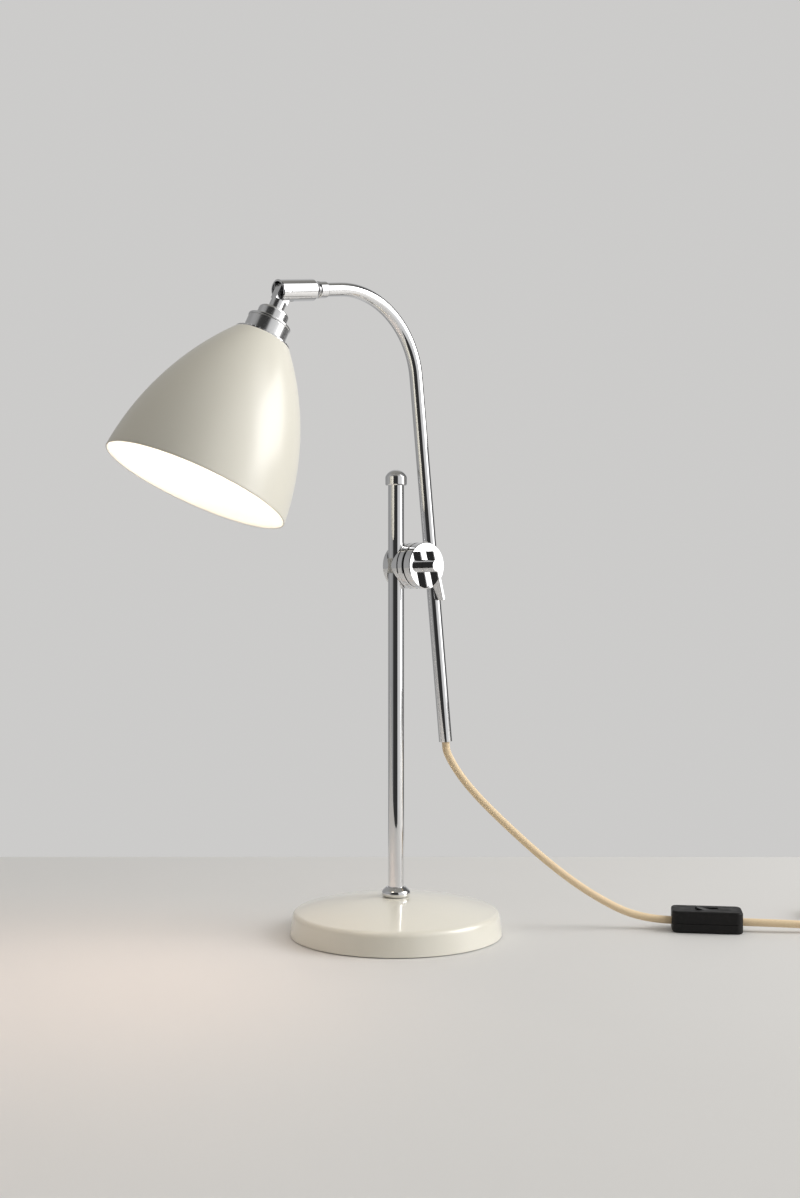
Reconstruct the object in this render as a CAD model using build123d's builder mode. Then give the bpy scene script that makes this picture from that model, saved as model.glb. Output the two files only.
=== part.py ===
from build123d import *
import math
import os

# Task lamp: a bell shade on a bent arm, held by a lever clamp on a post with a weighted round base,
# and a textile flex with an in-line switch and a two-pin plug.
# Millimetres, +Z up, origin at the centre of the base's underside, shade towards -X, clamp lever towards -Y.

# Fits
seat_gap = 0.03
running_gap = 0.05
turning_face_gap = 0.1

# Base
base_diameter = 158.0
base_taper = 2.0
base_edge_height = 17.0
base_crown_height = 28.0
base_shoulder = 4.5
base_wall = 1.6
base_lift = 0.6
pad_thickness = 2.0
pad_inset = 5.0
weight_gap = 0.6
weight_headroom = 1.0
weight_boss_diameter = 26.0
weight_boss_gap = 0.1
spigot_diameter = 8.0
washer_diameter = 17.0
washer_thickness = 1.6
nut_across_flats = 13.0
nut_height = 6.5
nut_room = 1.0
nut_recess_diameter = 24.0

# Post
post_diameter = 12.0
collar_diameter = 21.4
collar_height = 7.2
collar_lip = 1.3
collar_bulge_height = 2.6
collar_neck_diameter = 14.4
clamp_to_cap = 59.9
cap_diameter = 16.2
cap_wall_height = 6.5
cap_dome_height = 5.5
cap_bore_depth = 8.0
cap_edge = 0.8

# Clamp: four grooved discs on one bolt, placed by their distance in front of the post's axis
clamp_x = 11.0
clamp_height = 274.8
jaw_diameter = 34.6
jaw_bevel = 0.5
jaw_slit = 1.4
rear_jaw_thickness = 7.7
front_jaw_thickness = 7.3
swivel_washer_thickness = 0.3
swivel_washer_inset = 0.8
inner_arm_jaw_thickness = 5.4
outer_arm_jaw_thickness = 7.0
bush_wall = 0.4
bush_height = 11.0
bolt_diameter = 6.0
bolt_head_diameter = 10.8
bolt_head_height = 2.4
bolt_head_room = 0.2
bolt_grip = 8.0
bolt_key_size = 4.0
bolt_key_depth = 1.4

# Clamp lever
lever_hub_diameter = 9.8
lever_hub_length = 11.5
lever_bar_thickness = 2.8
lever_bar_width = 8.6
lever_bar_rise = 11.2
lever_bar_drop = 26.5
lever_tilt = 15.0
lever_edge = 0.5

# Arm
arm_diameter = 10.0
arm_wall = 1.0
arm_tilt = 6.25
arm_droop = 2.35
arm_offset = 11.4
arm_lower_length = 134.4
arm_upper_length = 205.3
arm_bend_radius = 63.0
flex_core_diameter = 4.8
cord_bush_length = 14.0
cord_bush_bore = 6.0

# Knuckle at the arm's end, placed by distances along the arm's end from the corner of its axes
ferrule_start = 79.7
ferrule_length = 7.1
ferrule_diameter = 12.0
ferrule_edge = 0.8
sleeve_start = 87.9
sleeve_length = 33.5
sleeve_diameter = 15.4
sleeve_taper_length = 3.9
sleeve_taper_depth = 2.1
sleeve_bore_diameter = 13.0
sleeve_bore_depth = 18.0
sleeve_slot_length = 11.4
sleeve_edge = 0.4
clip_thickness = 1.0
clip_diameter = 12.0
clip_overhang = 1.0
pivot_inset = 5.4
pin_diameter = 3.0
pin_recess = 0.3
shade_lean = 24.07
shade_swing = 7.26

# Head, placed by distances from the knuckle pin along the shade's axis
tongue_thickness = 6.0
tongue_slot_gap = 0.3
stem_diameter = 11.0
stem_shoulder = 8.8
stem_length = 16.0
stem_spigot_diameter = 7.0
cap_top_diameter = 21.8
cap_top_height = 8.8
cap_top_round = 2.4
flange_diameter = 31.0
flange_thickness = 1.7
flange_edge = 0.5
holder_diameter = 30.2
holder_height = 11.0
holder_wall = 1.2
holder_edge = 0.4
shade_ring_diameter = 39.8
shade_ring_height = 1.3
shade_ring_notches = 40
shade_ring_notch = 0.8
shade_height = 112.7
shade_top_diameter = 41.0
shade_rim_diameter = 129.6
shade_bell_radius = 206.35
shade_wall = 1.1
socket_diameter = 27.2
socket_length = 40.0
socket_well_diameter = 15.0
socket_well_depth = 24.0
socket_ring_diameter = 37.0
socket_ring_height = 5.0
bulb_cap_diameter = 13.8
bulb_cap_length = 24.2
bulb_cap_tip = 6.0
bulb_diameter = 45.0
bulb_length = 52.0
bulb_neck_diameter = 14.4
bulb_wall = 1.0

# In-line switch, turned about Z and lying on the table
switch_place = (183.7, -145.9)
switch_turn = -49.0
switch_length = 52.4
switch_width = 26.0
switch_height = 16.2
switch_seam_height = 7.0
switch_corner = 5.0
switch_edge = 1.6
switch_seam_bevel = 0.3
rocker_length = 16.0
rocker_width = 8.6
rocker_gap = 0.45
rocker_pocket_depth = 6.4
rocker_pivot_drop = 3.2
rocker_hub_diameter = 5.0
rocker_dish = 0.9
rocker_rest_tilt = 8.0
rocker_pin_diameter = 2.0
rocker_pin_hold = 3.0
screw_spacing = 36.0
screw_diameter = 3.0
screw_head_diameter = 5.6
screw_head_height = 1.8
screw_sink = 0.6
screw_length = 12.0

# Flex
cord_diameter = 5.8
cord_lead = 23.0
cord_exit_run = 10.0
switch_exit_run = 13.0
cord_hang = [(0.109, 0.751), (0.301, 0.5385), (0.537, 0.306), (0.76, 0.129)]

# Coil of the spare flex, its tie and its plug
coil_place = (310.5, -206.9)
coil_turn = -41.0
coil_start_radius = 45.0
coil_turns_in = 3.25
coil_turns_out = 3.0
coil_pitch = 6.35
coil_climb = 0.5
coil_steps_per_turn = 4
coil_approach = 64.0
coil_tail_level = 14.0
coil_tail = 24.0
tie_thickness = 1.0
tie_width = 6.0
tie_gap = 0.45
tie_corner = 2.5
plug_relief_length = 22.0
plug_relief_start_diameter = 8.4
plug_relief_end_diameter = 11.0
plug_length = 34.0
plug_width = 26.0
plug_back_width = 15.0
plug_thickness = 14.0
plug_edge = 2.5
plug_pin_diameter = 4.0
plug_pin_length = 19.0
plug_pin_spacing = 18.6
plug_pin_tip = 0.8

os.makedirs("parts", exist_ok=True)


def save(piece, name):
    """Label a finished piece and write it as its own STEP file."""
    piece.part.label = name
    export_step(piece.part, f"parts/{name}.step")


def ring(plane, outer_radius, inner_radius, length, rounding=0.0):
    """A ring standing on a plane, with its outer rims rounded if asked."""
    with BuildPart() as band:
        with BuildSketch(plane):
            Circle(outer_radius)
            Circle(inner_radius, mode=Mode.SUBTRACT)
        extrude(amount=length)
        if rounding:
            fillet(band.edges().filter_by(GeomType.CIRCLE).sort_by(SortBy.RADIUS)[-2:], rounding)
    return band


# Base: cover, weight, pad and the nut that holds the post
base_radius = base_diameter / 2
base_edge_radius = base_radius - base_taper
base_dome_rise = base_crown_height - base_edge_height
base_dome_radius = (base_edge_radius**2 + base_dome_rise**2) / (2 * base_dome_rise)
spigot_radius = spigot_diameter / 2
post_radius = post_diameter / 2


def dome_height(radius):
    """Height of the base's outer dome at a distance from its axis."""
    return base_crown_height - base_dome_radius + math.sqrt(base_dome_radius**2 - radius**2)


with BuildPart() as base_cover:
    with BuildSketch(Plane.XZ):
        with BuildLine():
            Polyline((0, base_lift), (base_radius, base_lift), (base_edge_radius, base_edge_height))
            ThreePointArc(
                (base_edge_radius, base_edge_height),
                (base_edge_radius / 2, dome_height(base_edge_radius / 2)),
                (0, base_crown_height),
            )
            Line((0, base_crown_height), (0, base_lift))
        make_face()
    revolve(axis=Axis.Z)
    shoulder_edge = base_cover.edges().filter_by(GeomType.CIRCLE).sort_by(SortBy.RADIUS)[0]
    fillet(shoulder_edge, base_shoulder)
    offset(amount=-base_wall, openings=base_cover.faces().sort_by(Axis.Z)[0])
    with Locations((0, 0, base_crown_height)):
        Hole(spigot_radius + seat_gap)
save(base_cover, "base_cover")

weight_radius = base_edge_radius - base_wall - weight_gap
weight_top = base_edge_height - base_shoulder - weight_headroom
boss_radius = weight_boss_diameter / 2
boss_top = dome_height(boss_radius) - base_wall - weight_boss_gap
nut_recess_top = pad_thickness + nut_room + nut_height + washer_thickness

with BuildPart() as base_weight:
    with BuildSketch(Plane.XZ):
        with BuildLine():
            Polyline(
                (0, pad_thickness),
                (weight_radius, pad_thickness),
                (weight_radius, weight_top),
                (boss_radius, weight_top),
                (boss_radius, boss_top),
                (0, boss_top),
                close=True,
            )
        make_face()
    revolve(axis=Axis.Z)
    with Locations((0, 0, boss_top)):
        Hole(spigot_radius + seat_gap)
    with BuildSketch(Plane.XY.offset(pad_thickness)):
        Circle(nut_recess_diameter / 2)
    extrude(amount=nut_recess_top - pad_thickness, mode=Mode.SUBTRACT)
save(base_weight, "base_weight")

with BuildPart() as base_pad:
    with BuildSketch():
        Circle(base_radius - pad_inset)
    extrude(amount=pad_thickness)
save(base_pad, "base_pad")

washer_bottom = nut_recess_top - washer_thickness
post_washer = ring(
    Plane.XY.offset(washer_bottom), washer_diameter / 2, spigot_radius + seat_gap, washer_thickness
)
save(post_washer, "post_washer")

nut_bottom = washer_bottom - nut_height
with BuildPart() as post_nut:
    with BuildSketch(Plane.XY.offset(nut_bottom)):
        RegularPolygon(nut_across_flats / 2, 6, major_radius=False)
        Circle(spigot_radius + seat_gap, mode=Mode.SUBTRACT)
    extrude(amount=nut_height)
save(post_nut, "post_nut")

# Post, its foot collar and its end cap
cap_height_on_post = clamp_height + clamp_to_cap
post_top = cap_height_on_post + cap_bore_depth
with BuildPart() as post:
    with BuildSketch(Plane.XY.offset(nut_bottom)):
        Circle(spigot_radius)
    extrude(amount=base_crown_height - nut_bottom)
    with BuildSketch(Plane.XY.offset(base_crown_height)):
        Circle(post_radius)
    extrude(amount=post_top - base_crown_height)
save(post, "post")

collar_radius = collar_diameter / 2
collar_bore = post_radius + seat_gap
collar_top = base_crown_height + collar_height
with BuildPart() as post_collar:
    with BuildSketch(Plane.XZ):
        with BuildLine():
            Polyline(
                (collar_bore, collar_top),
                (collar_bore, base_crown_height),
                (collar_radius - collar_lip, base_crown_height),
            )
            ThreePointArc(
                (collar_radius - collar_lip, base_crown_height),
                (collar_radius, base_crown_height + collar_bulge_height),
                (collar_radius - collar_lip, base_crown_height + 2 * collar_bulge_height),
            )
            Polyline(
                (collar_radius - collar_lip, base_crown_height + 2 * collar_bulge_height),
                (collar_neck_diameter / 2, collar_top),
                (collar_bore, collar_top),
            )
        make_face()
    revolve(axis=Axis.Z)
save(post_collar, "post_collar")

cap_radius = cap_diameter / 2
cap_shoulder = cap_height_on_post + cap_wall_height
cap_top = cap_shoulder + cap_dome_height
cap_dome_radius = (cap_radius**2 + cap_dome_height**2) / (2 * cap_dome_height)
with BuildPart() as post_cap:
    with BuildSketch(Plane.XZ):
        with BuildLine():
            Polyline(
                (0, cap_top),
                (0, post_top + seat_gap),
                (post_radius + seat_gap, post_top + seat_gap),
                (post_radius + seat_gap, cap_height_on_post),
                (cap_radius, cap_height_on_post),
                (cap_radius, cap_shoulder),
            )
            RadiusArc((cap_radius, cap_shoulder), (0, cap_top), -cap_dome_radius)
        make_face()
    revolve(axis=Axis.Z)
    chamfer(post_cap.faces().sort_by(Axis.Z)[0].outer_wire().edges(), cap_edge)
save(post_cap, "post_cap")

# Clamp: jaws, bolt, bush and washer, from the rear to the front
jaw_radius = jaw_diameter / 2
bolt_radius = bolt_diameter / 2
arm_radius = arm_diameter / 2
bush_radius = post_radius + running_gap + bush_wall
post_groove_radius = bush_radius + running_gap
rear_jaw_inner = -jaw_slit / 2
rear_jaw_outer = rear_jaw_inner - rear_jaw_thickness
front_jaw_inner = jaw_slit / 2
front_jaw_outer = front_jaw_inner + front_jaw_thickness
arm_jaw_rear_start = front_jaw_outer + swivel_washer_thickness + turning_face_gap
arm_jaw_rear_end = arm_jaw_rear_start + inner_arm_jaw_thickness
arm_front = arm_jaw_rear_end + jaw_slit / 2
arm_jaw_front_start = arm_jaw_rear_end + jaw_slit
arm_jaw_front_end = arm_jaw_front_start + outer_arm_jaw_thickness

arm_up = Vector(0, 0, 1).rotate(Axis.Y, -arm_tilt)
arm_side = Vector(-1, 0, 0).rotate(Axis.Y, -arm_tilt)
arm_out = arm_side.rotate(Axis.Y, -arm_droop)
arm_foot = Vector(clamp_x, -arm_front, clamp_height) - arm_side * arm_offset
arm_corner = arm_foot + arm_up * arm_upper_length
arm_low = arm_foot - arm_up * arm_lower_length
post_groove = Plane.XY.offset(clamp_height)
arm_groove = Plane(origin=arm_foot, z_dir=arm_up)


def clamp_jaw(start, end, groove, groove_radius, bore_radius, head_depth=0.0):
    """One jaw disc on the clamp's axis, grooved for the rod that it grips, and sunk for the bolt's head."""
    with BuildPart() as jaw:
        with BuildSketch(Plane.XZ.offset(start)):
            with Locations((clamp_x, clamp_height)):
                Circle(jaw_radius)
                Circle(bore_radius, mode=Mode.SUBTRACT)
        extrude(amount=end - start)
        rims = jaw.edges().filter_by(GeomType.CIRCLE).sort_by(SortBy.RADIUS)[-2:]
        chamfer(rims, jaw_bevel)
        with BuildSketch(groove):
            Circle(groove_radius)
        extrude(amount=jaw_diameter, both=True, mode=Mode.SUBTRACT)
        if head_depth:
            with BuildSketch(Plane.XZ.offset(start)):
                with Locations((clamp_x, clamp_height)):
                    Circle(bolt_head_diameter / 2 + bolt_head_room)
            extrude(amount=head_depth, mode=Mode.SUBTRACT)
    return jaw


bolt_head_seat = rear_jaw_outer + bolt_head_height + bolt_head_room
post_jaw_rear = clamp_jaw(
    rear_jaw_outer,
    rear_jaw_inner,
    post_groove,
    post_groove_radius,
    bolt_radius + seat_gap,
    bolt_head_height + bolt_head_room,
)
save(post_jaw_rear, "post_jaw_rear")

post_jaw_front = clamp_jaw(
    front_jaw_inner, front_jaw_outer, post_groove, post_groove_radius, bolt_radius + seat_gap
)
save(post_jaw_front, "post_jaw_front")

arm_jaw_rear = clamp_jaw(
    arm_jaw_rear_start, arm_jaw_rear_end, arm_groove, arm_radius + running_gap, bolt_radius + running_gap
)
save(arm_jaw_rear, "arm_jaw_rear")

arm_jaw_front = clamp_jaw(
    arm_jaw_front_start, arm_jaw_front_end, arm_groove, arm_radius + running_gap, bolt_radius + running_gap
)
save(arm_jaw_front, "arm_jaw_front")

swivel_washer = ring(
    Plane(origin=(clamp_x, -front_jaw_outer, clamp_height), z_dir=(0, -1, 0)),
    jaw_radius - swivel_washer_inset,
    bolt_radius + seat_gap,
    swivel_washer_thickness,
)
save(swivel_washer, "swivel_washer")

post_bush = ring(
    Plane.XY.offset(clamp_height - bush_height / 2), bush_radius, post_radius + running_gap, bush_height
)
save(post_bush, "post_bush")

lever_start = arm_jaw_front_end + turning_face_gap
with BuildPart() as clamp_bolt:
    with BuildSketch(Plane.XZ.offset(bolt_head_seat - bolt_head_height)):
        with Locations((clamp_x, clamp_height)):
            Circle(bolt_head_diameter / 2)
    extrude(amount=bolt_head_height)
    with BuildSketch(Plane.XZ.offset(bolt_head_seat)):
        with Locations((clamp_x, clamp_height)):
            Circle(bolt_radius)
    extrude(amount=lever_start + bolt_grip - bolt_head_seat)
    with BuildSketch(Plane.XZ.offset(bolt_head_seat - bolt_head_height)):
        with Locations((clamp_x, clamp_height)):
            RegularPolygon(bolt_key_size / 2, 6, major_radius=False)
    extrude(amount=bolt_key_depth, mode=Mode.SUBTRACT)
save(clamp_bolt, "clamp_bolt")

lever_bar_start = lever_start + lever_hub_length - lever_bar_width
with BuildPart() as lever_bar:
    with BuildSketch(Plane.XZ.offset(lever_bar_start)):
        with Locations(Location((clamp_x, clamp_height), lever_tilt)):
            with Locations((0, (lever_bar_rise - lever_bar_drop) / 2)):
                Rectangle(lever_bar_thickness, lever_bar_rise + lever_bar_drop)
    extrude(amount=lever_bar_width)
    fillet(lever_bar.edges(), lever_edge)

with BuildPart() as clamp_lever:
    with BuildSketch(Plane.XZ.offset(lever_start)):
        with Locations((clamp_x, clamp_height)):
            Circle(lever_hub_diameter / 2)
    extrude(amount=lever_hub_length)
    chamfer(clamp_lever.faces().sort_by(Axis.Y)[0].edges(), lever_edge)
    add(lever_bar.part)
    with BuildSketch(Plane.XZ.offset(lever_start)):
        with Locations((clamp_x, clamp_height)):
            Circle(bolt_radius + running_gap)
    extrude(amount=bolt_grip + turning_face_gap, mode=Mode.SUBTRACT)
save(clamp_lever, "clamp_lever")

# Arm: tube, flex inside it, cord bush, ferrule and clip
sleeve_end = sleeve_start + sleeve_length
clip_start = sleeve_end - sleeve_bore_depth + turning_face_gap
arm_tip = arm_corner + arm_out * (clip_start + clip_thickness + clip_overhang)
arm_bore_radius = arm_radius - arm_wall


def along_arm_end(distance):
    """Plane across the arm's end at a distance from the corner of its axes."""
    return Plane(origin=arm_corner + arm_out * distance, z_dir=arm_out)


with BuildPart() as arm_tube:
    with BuildLine():
        FilletPolyline(arm_low, arm_corner, arm_tip, radius=arm_bend_radius)
    with BuildSketch(Plane(origin=arm_low, z_dir=arm_up)):
        Circle(arm_radius)
        Circle(arm_bore_radius, mode=Mode.SUBTRACT)
    sweep()
save(arm_tube, "arm_tube")

with BuildPart() as arm_flex:
    with BuildLine():
        FilletPolyline(arm_low, arm_corner, arm_tip, radius=arm_bend_radius)
    with BuildSketch(Plane(origin=arm_low, z_dir=arm_up)):
        Circle(flex_core_diameter / 2)
    sweep()
save(arm_flex, "arm_flex")

cord_bush = ring(
    Plane(origin=arm_low, z_dir=arm_up), arm_bore_radius - running_gap, cord_bush_bore / 2, cord_bush_length
)
save(cord_bush, "cord_bush")

arm_ferrule = ring(
    along_arm_end(ferrule_start), ferrule_diameter / 2, arm_radius + seat_gap, ferrule_length, ferrule_edge
)
save(arm_ferrule, "arm_ferrule")

sleeve_clip = ring(along_arm_end(clip_start), clip_diameter / 2, arm_radius + seat_gap, clip_thickness)
save(sleeve_clip, "sleeve_clip")

# Knuckle: sleeve that turns on the arm's end, and the pin that the shade tilts on
pivot = arm_corner + arm_out * (sleeve_end - pivot_inset)
shade_hang = Vector(0, 0, -1).rotate(Axis.Y, shade_lean)
shade_down = shade_hang.rotate(Axis((0, 0, 0), -arm_out), shade_swing)
pin_axis = shade_down.cross(arm_out).normalized()
sleeve_radius = sleeve_diameter / 2
pin_radius = pin_diameter / 2
sleeve_section = Plane(origin=arm_corner + arm_out * sleeve_start, x_dir=arm_out, z_dir=pin_axis)
slot_width = tongue_thickness + 2 * tongue_slot_gap

with BuildPart() as knuckle_sleeve:
    with BuildSketch(sleeve_section):
        with BuildLine():
            Polyline(
                (0, arm_radius + running_gap),
                (0, sleeve_radius - sleeve_taper_depth),
                (sleeve_taper_length, sleeve_radius),
                (sleeve_length - sleeve_edge, sleeve_radius),
                (sleeve_length, sleeve_radius - sleeve_edge),
                (sleeve_length, sleeve_bore_diameter / 2),
                (sleeve_length - sleeve_bore_depth, sleeve_bore_diameter / 2),
                (sleeve_length - sleeve_bore_depth, arm_radius + running_gap),
                close=True,
            )
        make_face()
    revolve(axis=Axis(sleeve_section.origin, arm_out))
    with BuildSketch(sleeve_section):
        with Locations((sleeve_length - sleeve_slot_length, 0)):
            Rectangle(sleeve_slot_length * 2, sleeve_diameter, align=(Align.MIN, Align.MAX))
    extrude(amount=slot_width / 2, both=True, mode=Mode.SUBTRACT)
    with BuildSketch(Plane(origin=pivot, z_dir=pin_axis)):
        Circle(pin_radius + seat_gap)
    extrude(amount=sleeve_diameter, both=True, mode=Mode.SUBTRACT)
save(knuckle_sleeve, "knuckle_sleeve")

with BuildPart() as knuckle_pin:
    with BuildSketch(Plane(origin=pivot, z_dir=pin_axis)):
        Circle(pin_radius)
    extrude(amount=sleeve_radius - pin_recess, both=True)
save(knuckle_pin, "knuckle_pin")

# Head: every piece is turned about the shade's axis, drawn as (radius, distance from the pin)
head_section = Plane(origin=pivot, x_dir=pin_axis, z_dir=pin_axis.cross(shade_down))
head_axis = Axis(pivot, shade_down)
stem_radius = stem_diameter / 2
stem_spigot_radius = stem_spigot_diameter / 2
flange_top = stem_length + cap_top_height
holder_top = flange_top + flange_thickness
shade_ring_top = holder_top + holder_height
shade_top = shade_ring_top + shade_ring_height
shade_rim = shade_top + shade_height
socket_radius = socket_diameter / 2
shade_hole_radius = socket_radius + seat_gap


def across_head(distance):
    """Plane across the shade's axis at a distance from the knuckle pin."""
    return Plane(origin=pivot + shade_down * distance, x_dir=pin_axis, z_dir=shade_down)


with BuildPart() as stem:
    with BuildSketch(Plane(origin=pivot, x_dir=shade_down, z_dir=pin_axis)):
        Circle(stem_radius)
        Rectangle(stem_shoulder, stem_diameter, align=(Align.MIN, Align.CENTER))
    extrude(amount=tongue_thickness / 2, both=True)
    with BuildSketch(across_head(stem_shoulder)):
        Circle(stem_radius)
    extrude(amount=stem_length - stem_shoulder)
    with BuildSketch(across_head(stem_length)):
        Circle(stem_spigot_radius)
    extrude(amount=holder_top - stem_length)
    with BuildSketch(Plane(origin=pivot, z_dir=pin_axis)):
        Circle(pin_radius + running_gap)
    extrude(amount=stem_diameter, both=True, mode=Mode.SUBTRACT)
save(stem, "stem")

with BuildPart() as holder_cap:
    with BuildSketch(across_head(stem_length)):
        Circle(cap_top_diameter / 2)
    extrude(amount=cap_top_height)
    fillet(holder_cap.edges().filter_by(GeomType.CIRCLE).sort_by_distance(pivot)[0], cap_top_round)
    with BuildSketch(across_head(flange_top)):
        Circle(flange_diameter / 2)
    extrude(amount=flange_thickness)
    fillet(holder_cap.edges().filter_by(GeomType.CIRCLE).sort_by(SortBy.RADIUS)[-2:], flange_edge)
    with BuildSketch(across_head(stem_length)):
        Circle(stem_spigot_radius + seat_gap)
    extrude(amount=holder_top - stem_length, mode=Mode.SUBTRACT)
save(holder_cap, "holder_cap")

holder_body = ring(
    across_head(holder_top), holder_diameter / 2, holder_diameter / 2 - holder_wall, holder_height, holder_edge
)
save(holder_body, "holder_body")

with BuildPart() as shade_ring:
    with BuildSketch(across_head(shade_ring_top)):
        Circle(shade_ring_diameter / 2)
        Circle(shade_hole_radius, mode=Mode.SUBTRACT)
        with PolarLocations(shade_ring_diameter / 2, shade_ring_notches):
            Circle(shade_ring_notch / 2, mode=Mode.SUBTRACT)
    extrude(amount=shade_ring_height)
save(shade_ring, "shade_ring")

with BuildPart() as shade:
    with BuildSketch(head_section):
        with BuildLine():
            Polyline((0, shade_rim), (0, shade_top), (shade_top_diameter / 2, shade_top))
            RadiusArc(
                (shade_top_diameter / 2, shade_top), (shade_rim_diameter / 2, shade_rim), -shade_bell_radius
            )
            Line((shade_rim_diameter / 2, shade_rim), (0, shade_rim))
        make_face()
    revolve(axis=head_axis)
    mouth = shade.faces().filter_by(GeomType.PLANE).sort_by(SortBy.AREA)[-1]
    offset(amount=-shade_wall, openings=mouth)
    with BuildSketch(across_head(shade_top)):
        Circle(shade_hole_radius)
    extrude(amount=shade_wall * 2, both=True, mode=Mode.SUBTRACT)
save(shade, "shade")

socket_end = holder_top + socket_length
with BuildPart() as lamp_socket:
    with BuildSketch(across_head(holder_top)):
        Circle(socket_radius)
    extrude(amount=socket_length)
    with BuildSketch(across_head(socket_end)):
        Circle(socket_well_diameter / 2)
    extrude(amount=-socket_well_depth, mode=Mode.SUBTRACT)
save(lamp_socket, "lamp_socket")

socket_ring = ring(
    across_head(shade_top + shade_wall), socket_ring_diameter / 2, shade_hole_radius, socket_ring_height
)
save(socket_ring, "socket_ring")

bulb_cap_top = socket_end - socket_well_depth + turning_face_gap
bulb_seat = bulb_cap_top + bulb_cap_length
with BuildPart() as bulb_cap:
    with BuildSketch(head_section):
        with BuildLine():
            Polyline(
                (0, bulb_cap_top),
                (bulb_cap_tip / 2, bulb_cap_top),
                (bulb_cap_diameter / 2, bulb_cap_top + bulb_cap_tip / 2),
                (bulb_cap_diameter / 2, bulb_seat),
                (0, bulb_seat),
                close=True,
            )
        make_face()
    revolve(axis=head_axis)
save(bulb_cap, "bulb_cap")

bulb_radius = bulb_diameter / 2
bulb_centre = bulb_seat + bulb_length - bulb_radius
bulb_waist = bulb_centre - bulb_radius * math.sin(math.radians(45))
with BuildPart() as bulb_glass:
    with BuildSketch(head_section):
        with BuildLine():
            Polyline(
                (0, bulb_seat + bulb_length),
                (0, bulb_seat),
                (bulb_neck_diameter / 2, bulb_seat),
                (bulb_radius * math.cos(math.radians(45)), bulb_waist),
            )
            ThreePointArc(
                (bulb_radius * math.cos(math.radians(45)), bulb_waist),
                (bulb_radius, bulb_centre),
                (0, bulb_seat + bulb_length),
            )
        make_face()
    revolve(axis=head_axis)
    offset(amount=-bulb_wall, openings=bulb_glass.faces().filter_by(GeomType.PLANE))
save(bulb_glass, "bulb_glass")

# In-line switch: two shells, rocker on its pin, and screws from below
switch_along = Vector(1, 0, 0).rotate(Axis.Z, switch_turn)
switch_across = Vector(0, 1, 0).rotate(Axis.Z, switch_turn)
switch_plane = Plane(origin=(*switch_place, 0), x_dir=switch_along, z_dir=(0, 0, 1))
rocker_pivot = switch_plane.from_local_coords(Vector(0, 0, switch_height - rocker_pivot_drop))
rocker_pin_radius = rocker_pin_diameter / 2
rocker_pin_length = rocker_width + 2 * (rocker_gap + rocker_pin_hold)
screw_places = [(-screw_spacing / 2, 0), (screw_spacing / 2, 0)]
pin_plane = Plane(origin=rocker_pivot, x_dir=switch_along, z_dir=-switch_across)

with BuildPart() as switch_base:
    with BuildSketch(switch_plane):
        RectangleRounded(switch_length, switch_width, switch_corner)
    extrude(amount=switch_seam_height)
    fillet(switch_base.faces().sort_by(Axis.Z)[0].edges(), switch_edge)
    chamfer(switch_base.faces().sort_by(Axis.Z)[-1].edges(), switch_seam_bevel)
    with BuildSketch(switch_plane):
        with Locations(*screw_places):
            Circle(screw_diameter / 2 + seat_gap)
    extrude(amount=switch_seam_height, mode=Mode.SUBTRACT)
    with BuildSketch(switch_plane):
        with Locations(*screw_places):
            Circle(screw_head_diameter / 2 + seat_gap)
    extrude(amount=screw_sink + screw_head_height, mode=Mode.SUBTRACT)
save(switch_base, "switch_base")

with BuildPart() as switch_top:
    with BuildSketch(switch_plane.offset(switch_seam_height)):
        RectangleRounded(switch_length, switch_width, switch_corner)
    extrude(amount=switch_height - switch_seam_height)
    fillet(switch_top.faces().sort_by(Axis.Z)[-1].edges(), switch_edge)
    chamfer(switch_top.faces().sort_by(Axis.Z)[0].edges(), switch_seam_bevel)
    with BuildSketch(switch_plane.offset(switch_height)):
        Rectangle(rocker_length + 2 * rocker_gap, rocker_width + 2 * rocker_gap)
    extrude(amount=-rocker_pocket_depth, mode=Mode.SUBTRACT)
    with BuildSketch(pin_plane):
        Circle(rocker_pin_radius + seat_gap)
    extrude(amount=rocker_pin_length / 2, both=True, mode=Mode.SUBTRACT)
    with BuildSketch(switch_plane.offset(switch_seam_height)):
        with Locations(*screw_places):
            Circle(screw_diameter / 2 + seat_gap)
    extrude(amount=screw_sink + screw_length - switch_seam_height + seat_gap, mode=Mode.SUBTRACT)
save(switch_top, "switch_top")

with BuildPart() as switch_screws:
    with BuildSketch(switch_plane.offset(screw_sink)):
        with Locations(*screw_places):
            Circle(screw_head_diameter / 2)
    extrude(amount=screw_head_height)
    with BuildSketch(switch_plane.offset(screw_sink)):
        with Locations(*screw_places):
            Circle(screw_diameter / 2)
    extrude(amount=screw_length)
save(switch_screws, "switch_screws")

with BuildPart() as rocker_pin:
    with BuildSketch(pin_plane):
        Circle(rocker_pin_radius)
    extrude(amount=rocker_pin_length / 2, both=True)
save(rocker_pin, "rocker_pin")

rocker_top = rocker_pivot_drop - rocker_dish / 2
rocker_half = rocker_length / 2 * math.cos(math.radians(rocker_rest_tilt))
rocker_flank = rocker_hub_diameter / 2
rocker_tilted = switch_along.rotate(Axis((0, 0, 0), switch_across), rocker_rest_tilt)
with BuildPart() as switch_rocker:
    with BuildSketch(Plane(origin=rocker_pivot, x_dir=rocker_tilted, z_dir=-switch_across)):
        with BuildLine():
            ThreePointArc(
                (-rocker_half, rocker_top + rocker_dish), (0, rocker_top), (rocker_half, rocker_top + rocker_dish)
            )
            Polyline(
                (rocker_half, rocker_top + rocker_dish),
                (rocker_half, 0),
                (rocker_flank, -rocker_flank),
                (-rocker_flank, -rocker_flank),
                (-rocker_half, 0),
                (-rocker_half, rocker_top + rocker_dish),
            )
        make_face()
        Circle(rocker_pin_radius + running_gap, mode=Mode.SUBTRACT)
    extrude(amount=rocker_width / 2, both=True)
save(switch_rocker, "switch_rocker")

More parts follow.
